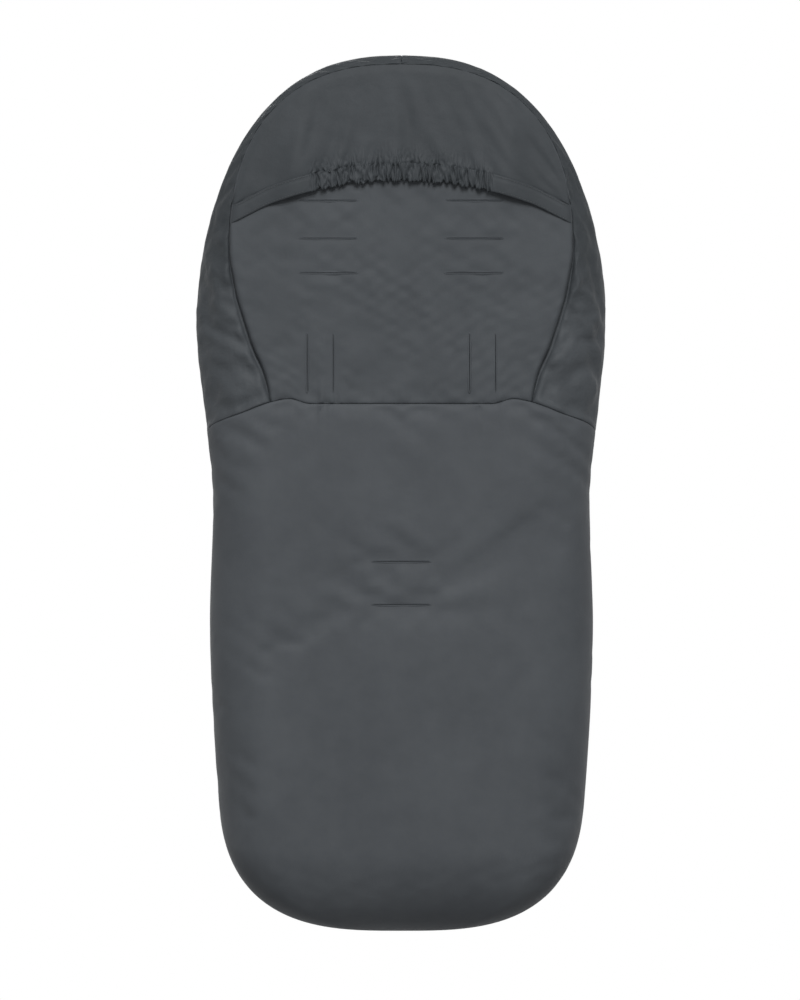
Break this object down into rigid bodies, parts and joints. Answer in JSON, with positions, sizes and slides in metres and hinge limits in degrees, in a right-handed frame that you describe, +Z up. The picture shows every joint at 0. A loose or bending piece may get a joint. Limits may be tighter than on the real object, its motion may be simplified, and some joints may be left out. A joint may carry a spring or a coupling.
{
  "type": "stroller footmuff",
  "caption": "Padded footmuff for a stroller seat: zipped bag, hooded head end, gathered seat pocket, harness slots, fold-down front cover with a chest collar.",
  "frame": {"origin": "middle of the back panel's outer face, at the height where the seat pocket's top rests on the stroller's seat back", "axes": "+Z up towards the head end, +Y forwards out of the seat towards the front cover, +X to the right seen from behind"},
  "size_m": [0.4494, 0.1678, 0.96],
  "materials": {
    "slate_polyester": "matte",
    "dark_slate_polyester": "matte",
    "white_wadding": "matte",
    "grey_fleece": "matte",
    "dark_binding": "matte",
    "slot_facing_cloth": "matte",
    "zip_tape": "matte",
    "zip_coil": "satin",
    "dark_zip_metal": "satin",
    "white_elastic": "matte"
  },
  "bodies": {
    "bag": {"back_panel_shell": "slate_polyester", "back_panel_wadding": "white_wadding", "back_panel_lining": "grey_fleece", "wing_left_shell": "dark_slate_polyester", "wing_left_wadding": "white_wadding", "wing_left_lining": "grey_fleece", "wing_right_shell": "dark_slate_polyester", "wing_right_wadding": "white_wadding", "wing_right_lining": "grey_fleece", "lower_bag_shell": "slate_polyester", "lower_bag_wadding": "white_wadding", "lower_bag_lining": "grey_fleece", "seat_pocket": "slate_polyester", "rim_binding": "dark_binding", "rim_elastic": "white_elastic", "shoulder_slot_facing_top_left": "slot_facing_cloth", "shoulder_slot_facing_top_right": "slot_facing_cloth", "shoulder_slot_facing_middle_left": "slot_facing_cloth", "shoulder_slot_facing_middle_right": "slot_facing_cloth", "shoulder_slot_facing_bottom_left": "slot_facing_cloth", "shoulder_slot_facing_bottom_right": "slot_facing_cloth", "waist_slot_facing_inner_left": "slot_facing_cloth", "waist_slot_facing_inner_right": "slot_facing_cloth", "waist_slot_facing_outer_left": "slot_facing_cloth", "waist_slot_facing_outer_right": "slot_facing_cloth", "crotch_slot_facing_upper": "slot_facing_cloth", "crotch_slot_facing_lower": "slot_facing_cloth", "zip_tape_bag_left": "zip_tape", "zip_tape_bag_right": "zip_tape", "zip_coil_bag_left": "zip_coil", "zip_coil_bag_right": "zip_coil", "zip_stop_left": "dark_zip_metal", "zip_stop_right": "dark_zip_metal"},
    "apron": {"apron_shell": "slate_polyester", "apron_wadding": "white_wadding", "apron_lining": "grey_fleece", "zip_tape_apron_left": "zip_tape", "zip_tape_apron_right": "zip_tape", "zip_coil_apron_left": "zip_coil", "zip_coil_apron_right": "zip_coil"},
    "collar": {"collar_shell": "slate_polyester", "collar_wadding": "white_wadding", "collar_lining": "grey_fleece"},
    "slider_left": {"slider_left": "dark_zip_metal"},
    "slider_right": {"slider_right": "dark_zip_metal"},
    "puller_left": {"puller_left": "dark_zip_metal"},
    "puller_right": {"puller_right": "dark_zip_metal"},
    "pocket_hem": {"pocket_hem": "slate_polyester", "pocket_hem_elastic": "white_elastic"}
  },
  "joints": [
    {"name": "apron_fold", "type": "hinge", "parent": "bag", "child": "apron", "pos_m": [0, 0.14966, -0.8545], "axis": [-1, 0, 0], "range_deg": [0, 165]},
    {"name": "collar_fold", "type": "hinge", "parent": "apron", "child": "collar", "pos_m": [0, 0.10835, -0.3045], "axis": [-1, 0, 0], "range_deg": [0, 165]},
    {"name": "zip_left_slide", "type": "slide", "parent": "bag", "child": "slider_left", "axis": [0.0687, 0.0885, -0.9937], "range_m": [0, 0.54]},
    {"name": "zip_right_slide", "type": "slide", "parent": "bag", "child": "slider_right", "axis": [-0.0687, 0.0885, -0.9937], "range_m": [0, 0.54]},
    {"name": "puller_left_swing", "type": "hinge", "parent": "slider_left", "child": "puller_left", "pos_m": [-0.18074, 0.07222, -0.29225], "axis": [0.9112, 0.3999, 0.0986], "range_deg": [0, 150]},
    {"name": "puller_right_swing", "type": "hinge", "parent": "slider_right", "child": "puller_right", "pos_m": [0.18074, 0.07222, -0.29225], "axis": [0.9112, -0.3999, -0.0986], "range_deg": [0, 150]},
    {"name": "hem_stretch", "type": "hinge", "parent": "bag", "child": "pocket_hem", "pos_m": [0, -0.0003, -0.1658], "axis": [1, 0, 0], "range_deg": [0, 60], "stiffness_Nm_per_rad": 0.02, "springref_deg": -17.19}
  ],
  "couplings": [
    {"joint": "zip_left_slide", "follows": "apron_fold", "m_per_rad": 0.18},
    {"joint": "zip_right_slide", "follows": "apron_fold", "m_per_rad": 0.18}
  ]
}
